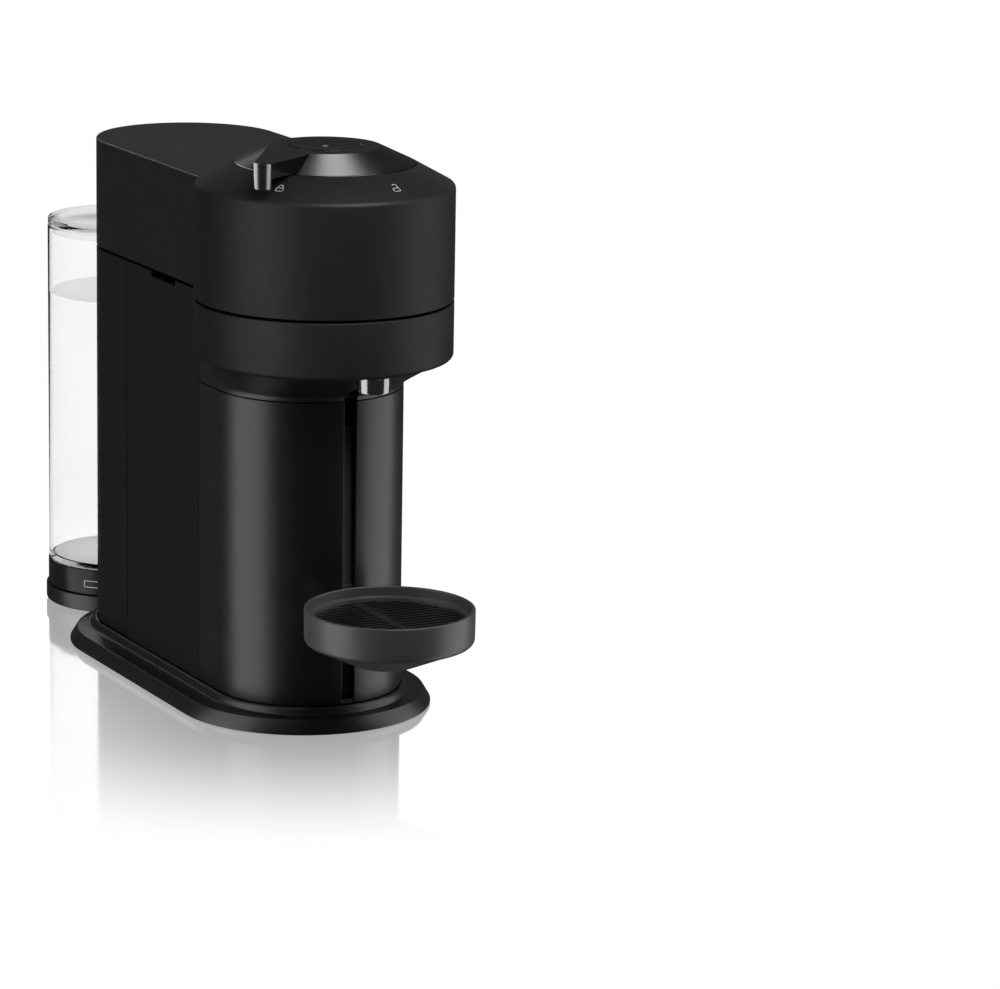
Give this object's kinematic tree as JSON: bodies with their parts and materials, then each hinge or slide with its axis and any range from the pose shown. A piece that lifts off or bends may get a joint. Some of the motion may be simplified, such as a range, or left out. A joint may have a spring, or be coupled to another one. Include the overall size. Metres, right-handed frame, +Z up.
{
  "type": "pod coffee machine",
  "caption": "Slim pod coffee machine with a round hinged head and lever, column with height-adjustable cup support, and a lift-off cylindrical water tank behind.",
  "frame": {"origin": "on the ground, in the middle of the machine's footprint", "axes": "+Z up, the cup side faces -Y, the machine's left side is -X"},
  "size_m": [0.142, 0.4384, 0.3132],
  "materials": {
    "black_matte": "satin moulded plastic",
    "black_gloss": "glossy moulded plastic",
    "support_grey": "satin",
    "grid_black": "satin",
    "dark_chrome": "dark mirror",
    "chrome": "mirror",
    "clear_plastic": "clear moulded plastic",
    "tank_base_dark": "smoked",
    "rubber": "matte",
    "frame_plastic": "moulded",
    "hose_silicone": "smooth",
    "steel": "brushed",
    "aluminium": "cast",
    "circuit_green": "solder mask"
  },
  "bodies": {
    "base": {"rear_shell": "black_matte", "side_panel_left": "black_matte", "side_panel_right": "black_matte", "collar": "black_matte", "neck": "black_gloss", "base_plate": "black_gloss", "coffee_spout": "chrome", "foot_front_left": "rubber", "foot_front_right": "rubber", "foot_rear_left": "rubber", "foot_rear_right": "rubber", "foot_tank": "rubber", "pump_mount_left": "rubber", "pump_mount_right": "rubber", "cord_gland": "rubber", "chassis": "frame_plastic", "head_bracket": "frame_plastic", "coffee_collector": "frame_plastic", "flow_meter": "frame_plastic", "tank_coupling": "frame_plastic", "hose_flow_meter_to_pump": "hose_silicone", "hose_pump_to_thermoblock": "hose_silicone", "hose_thermoblock_to_head": "hose_silicone", "motor": "steel", "shaft_bearing": "steel", "pump": "steel", "thermostat": "steel", "chassis_screw_1": "steel", "chassis_screw_2": "steel", "chassis_screw_3": "steel", "chassis_screw_4": "steel", "hinge_bracket": "steel", "hinge_pin": "steel", "thermoblock": "aluminium", "control_board": "circuit_green"},
    "lid": {"head_cover": "black_matte", "rear_cap": "black_matte", "lid_frame": "frame_plastic", "injector_bearing": "steel", "button_board": "circuit_green", "button_spring": "steel"},
    "lever": {"lever": "dark_chrome", "lock_ring": "frame_plastic"},
    "button": {"power_button": "black_gloss"},
    "injector": {"injector_plate": "frame_plastic"},
    "rotor": {"capsule_holder": "steel", "drive_shaft": "steel"},
    "container": {"container_front": "black_gloss", "capsule_bin": "frame_plastic"},
    "support": {"cup_support": "support_grey"},
    "grid": {"drip_grid": "grid_black"},
    "tank": {"tank": "clear_plastic", "tank_base": "tank_base_dark", "tank_valve": "rubber"},
    "tank_cover": {"tank_lid": "clear_plastic"}
  },
  "joints": [
    {"name": "lid_open", "type": "hinge", "parent": "base", "child": "lid", "pos_m": [0, 0.12895, 0.2315], "axis": [-1, 0, 0], "range_deg": [0, 50]},
    {"name": "lever_turn", "type": "hinge", "parent": "lid", "child": "lever", "pos_m": [0, -0.09305, 0.3041], "axis": [0, 0, 1], "range_deg": [0, 60]},
    {"name": "button_press", "type": "slide", "parent": "lid", "child": "button", "axis": [0, 0, -1], "range_m": [0, 0.0012], "stiffness_N_per_m": 900, "springref_m": -0.0006, "deforming": ["button_spring"]},
    {"name": "injector_spin", "type": "hinge", "parent": "lid", "child": "injector", "pos_m": [0, -0.09305, 0.236], "axis": [0, 0, 1], "continuous": true},
    {"name": "holder_spin", "type": "hinge", "parent": "base", "child": "rotor", "pos_m": [0, -0.09305, 0.205], "axis": [0, 0, 1], "continuous": true},
    {"name": "container_slide", "type": "slide", "parent": "base", "child": "container", "axis": [0, -1, 0], "range_m": [0, 0.15]},
    {"name": "support_height", "type": "slide", "parent": "container", "child": "support", "axis": [0, 0, 1], "range_m": [-0.034, 0.09]},
    {"name": "grid_lift", "type": "slide", "parent": "support", "child": "grid", "axis": [0, 0, 1], "range_m": [0, 0.04]},
    {"name": "tank_lift", "type": "slide", "parent": "base", "child": "tank", "axis": [0, 0, 1], "range_m": [0, 0.32]},
    {"name": "tank_lid_lift", "type": "slide", "parent": "tank", "child": "tank_cover", "axis": [0, 0, 1], "range_m": [0, 0.08]}
  ],
  "couplings": [
    {"joint": "injector_spin", "follows": "holder_spin", "ratio": 1}
  ]
}
